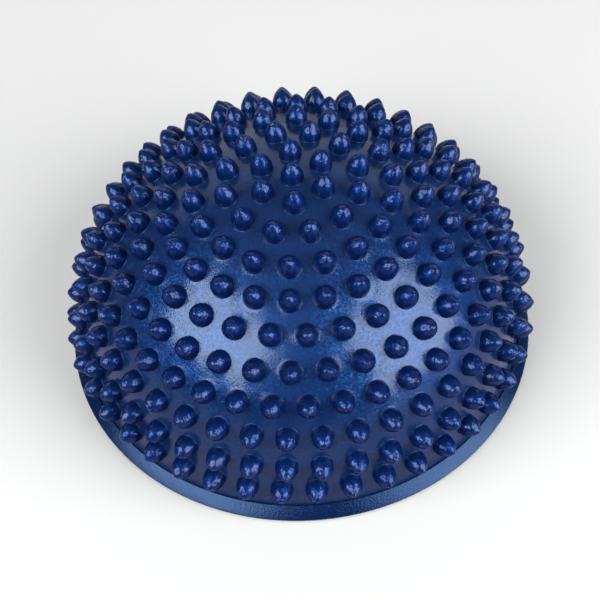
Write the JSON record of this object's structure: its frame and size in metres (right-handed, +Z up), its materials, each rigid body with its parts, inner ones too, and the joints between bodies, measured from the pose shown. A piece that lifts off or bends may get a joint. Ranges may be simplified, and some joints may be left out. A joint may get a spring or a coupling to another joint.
{
  "type": "balance dome trainer",
  "caption": "Air-filled half-dome with massage spikes all over, a raised, bevelled rim and a non-slip base with a pull-out valve plug, for balance training and foot massage.",
  "frame": {"origin": "on the floor under the centre of the round base", "axes": "+Z up along the dome's axis, front towards -Y"},
  "size_m": [0.1646, 0.1646, 0.0803],
  "materials": {
    "skin_pvc": "glossy soft PVC, deep navy with a fine pearl fleck",
    "base_pvc": "satin soft PVC, navy, finely textured",
    "valve_pvc": "satin soft PVC, navy",
    "plug_pvc": "satin soft PVC, navy"
  },
  "bodies": {
    "pod": {"dome_shell": "skin_pvc", "base_panel": "base_pvc", "valve_seat": "valve_pvc"},
    "plug": {"valve_plug": "plug_pvc"}
  },
  "joints": [
    {"name": "plug_pull", "type": "slide", "parent": "pod", "child": "plug", "axis": [0, 0, -1], "range_m": [0, 0.02]}
  ]
}
